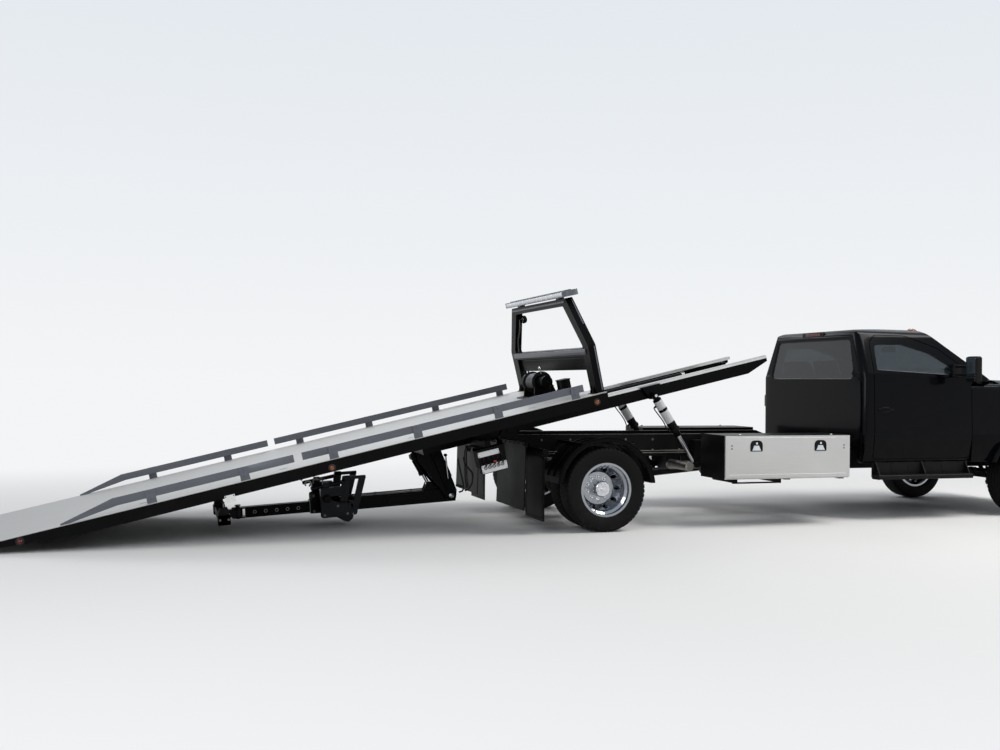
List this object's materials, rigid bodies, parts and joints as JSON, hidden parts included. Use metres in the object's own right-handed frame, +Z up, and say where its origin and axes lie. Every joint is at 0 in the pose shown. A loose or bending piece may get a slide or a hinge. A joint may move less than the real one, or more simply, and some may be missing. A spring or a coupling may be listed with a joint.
{
  "type": "flatbed tow truck with tilting, sliding deck",
  "caption": "Regular-cab flatbed tow truck with its deck slid back and tilted to the ground, wheel lift below, toolboxes behind the cab and twin rear wheels.",
  "frame": {"origin": "on the ground below the middle of the vehicle's length and width", "axes": "+X forward, +Y to the vehicle's left, +Z up"},
  "size_m": [11.8307, 2.69, 2.3578],
  "materials": {
    "body_black": "gloss black paint",
    "chassis_black": "satin black paint",
    "bed_black": "gloss black powder coat",
    "deck_grey": "light grey paint",
    "rail_grey": "brushed",
    "polished_alloy": "polished",
    "tyre_rubber": "matt",
    "bright_door": "brushed",
    "glass_dark": "tinted",
    "glass_light": "clear",
    "lamp_lens": "clear",
    "bright_trim": "bright",
    "plastic_black": "grained",
    "seat_fabric": "woven",
    "cast_dark": "rough",
    "pipe_steel": "aluminised",
    "rod_chrome": "polished",
    "winch_paint": "satin black"
  },
  "bodies": {
    "chassis": {"frame_rails": "chassis_black", "chassis_brackets": "chassis_black", "springs": "chassis_black", "rear_axle": "cast_dark", "front_axle": "cast_dark", "drive_shaft": "chassis_black", "engine_block": "cast_dark", "exhaust": "pipe_steel", "fuel_tank": "plastic_black", "cab_shell": "body_black", "cab_glass": "glass_dark", "front_clip": "body_black", "front_bumper": "bright_trim", "grille": "plastic_black", "lamps": "lamp_lens", "dashboard": "plastic_black", "seats": "seat_fabric", "cab_steps": "plastic_black", "toolboxes": "bed_black", "rear_fenders": "plastic_black"},
    "subframe": {"tilt_frame": "bed_black", "slide_barrel": "bed_black"},
    "bed": {"bed_frame": "bed_black", "deck_plate": "deck_grey", "side_rails": "rail_grey", "headboard": "bed_black", "light_bar": "rail_grey", "winch_frame": "winch_paint", "slide_rod": "rod_chrome"},
    "winch_drum": {"winch_drum": "cast_dark"},
    "tilt_barrels": {"tilt_barrels": "bed_black"},
    "tilt_rods": {"tilt_rods": "rod_chrome"},
    "lift_boom": {"lift_boom": "bed_black"},
    "lift_stinger": {"lift_stinger": "bed_black"},
    "lift_crossbar": {"lift_crossbar": "bed_black"},
    "lift_barrel": {"lift_barrel": "bed_black"},
    "lift_rod": {"lift_rod": "rod_chrome"},
    "hood": {"hood": "body_black"},
    "knuckle_right": {"knuckle_right": "cast_dark"},
    "wheel_front_right": {"rim_front_right": "polished_alloy", "tyre_front_right": "tyre_rubber"},
    "wheels_rear_right": {"rims_rear_right": "polished_alloy", "tyres_rear_right": "tyre_rubber"},
    "door_right": {"door_right": "body_black", "door_glass_right": "glass_light", "mirror_right": "plastic_black"},
    "toolbox_door_right": {"toolbox_door_right": "bright_door"},
    "knuckle_left": {"knuckle_left": "cast_dark"},
    "wheel_front_left": {"rim_front_left": "polished_alloy", "tyre_front_left": "tyre_rubber"},
    "wheels_rear_left": {"rims_rear_left": "polished_alloy", "tyres_rear_left": "tyre_rubber"},
    "door_left": {"door_left": "body_black", "door_glass_left": "glass_light", "mirror_left": "plastic_black"},
    "toolbox_door_left": {"toolbox_door_left": "bright_door"}
  },
  "joints": [
    {"name": "bed_tilt", "type": "hinge", "parent": "chassis", "child": "subframe", "pos_m": [-1.00905, 0, 0.95], "axis": [0, -1, 0], "range_deg": [-13.17, 0]},
    {"name": "bed_slide", "type": "slide", "parent": "subframe", "child": "bed", "axis": [-0.9737, 0, -0.2278], "range_m": [-2.88, 0]},
    {"name": "winch_spin", "type": "hinge", "parent": "bed", "child": "winch_drum", "pos_m": [-0.54806, 0, 1.43785], "axis": [0, 1, 0], "continuous": true},
    {"name": "tilt_barrel_swing", "type": "hinge", "parent": "subframe", "child": "tilt_barrels", "pos_m": [0.57177, 0, 1.30445], "axis": [0, -1, 0], "range_deg": [0, 31.26]},
    {"name": "tilt_rod_slide", "type": "slide", "parent": "tilt_barrels", "child": "tilt_rods", "axis": [0.5586, 0, -0.8294], "range_m": [-0.30086, 0]},
    {"name": "lift_hinge", "type": "hinge", "parent": "subframe", "child": "lift_boom", "pos_m": [-1.51052, 0, 0.2709], "axis": [0, 1, 0], "range_deg": [-18, 0]},
    {"name": "lift_barrel_swing", "type": "hinge", "parent": "subframe", "child": "lift_barrel", "pos_m": [-1.88377, 0, 0.65907], "axis": [0, 1, 0], "range_deg": [0, 8.22]},
    {"name": "lift_rod_slide", "type": "slide", "parent": "lift_barrel", "child": "lift_rod", "axis": [0.5068, 0, -0.8621], "range_m": [0, 0.05214]},
    {"name": "stinger_slide", "type": "slide", "parent": "lift_boom", "child": "lift_stinger", "axis": [-0.9981, 0, -0.0622], "range_m": [-0.3, 0.5]},
    {"name": "crossbar_swivel", "type": "hinge", "parent": "lift_stinger", "child": "lift_crossbar", "pos_m": [-3.61643, 0, 0.13957], "axis": [-0.0622, 0, 0.9981], "range_deg": [-15, 15]},
    {"name": "hood_lift", "type": "hinge", "parent": "chassis", "child": "hood", "pos_m": [4.62595, 0, 1.518], "axis": [0, -1, 0], "range_deg": [0, 50]},
    {"name": "steer_right", "type": "hinge", "parent": "chassis", "child": "knuckle_right", "pos_m": [4.93495, -0.8, 0.405], "axis": [0, 0, 1], "range_deg": [-34, 34]},
    {"name": "front_wheel_spin_right", "type": "hinge", "parent": "knuckle_right", "child": "wheel_front_right", "pos_m": [4.93495, -0.941, 0.405], "axis": [0, 1, 0], "continuous": true},
    {"name": "rear_wheel_spin_right", "type": "hinge", "parent": "chassis", "child": "wheels_rear_right", "pos_m": [-0.25905, -0.964, 0.405], "axis": [0, 1, 0], "continuous": true},
    {"name": "door_hinge_right", "type": "hinge", "parent": "chassis", "child": "door_right", "pos_m": [4.18995, -1.008, 1.2], "axis": [0, 0, 1], "range_deg": [0, 65]},
    {"name": "toolbox_door_hinge_right", "type": "hinge", "parent": "chassis", "child": "toolbox_door_right", "pos_m": [1.74295, -1.18, 0.486], "axis": [1, 0, 0], "range_deg": [0, 90]},
    {"name": "steer_left", "type": "hinge", "parent": "chassis", "child": "knuckle_left", "pos_m": [4.93495, 0.8, 0.405], "axis": [0, 0, 1], "range_deg": [-34.1, 34.1]},
    {"name": "front_wheel_spin_left", "type": "hinge", "parent": "knuckle_left", "child": "wheel_front_left", "pos_m": [4.93495, 0.941, 0.405], "axis": [0, 1, 0], "continuous": true},
    {"name": "rear_wheel_spin_left", "type": "hinge", "parent": "chassis", "child": "wheels_rear_left", "pos_m": [-0.25905, 0.964, 0.405], "axis": [0, 1, 0], "continuous": true},
    {"name": "door_hinge_left", "type": "hinge", "parent": "chassis", "child": "door_left", "pos_m": [4.18995, 1.008, 1.2], "axis": [0, 0, -1], "range_deg": [0, 65]},
    {"name": "toolbox_door_hinge_left", "type": "hinge", "parent": "chassis", "child": "toolbox_door_left", "pos_m": [1.74295, 1.18, 0.486], "axis": [-1, 0, 0], "range_deg": [0, 90]}
  ],
  "couplings": [
    {"joint": "tilt_barrel_swing", "follows": "bed_tilt", "ratio": -2.3721},
    {"joint": "tilt_rod_slide", "follows": "bed_tilt", "m_per_rad": 1.3082},
    {"joint": "lift_barrel_swing", "follows": "lift_hinge", "ratio": -0.45655},
    {"joint": "lift_rod_slide", "follows": "lift_hinge", "m_per_rad": -0.1659},
    {"joint": "steer_left", "follows": "steer_right", "ratio": 1}
  ]
}
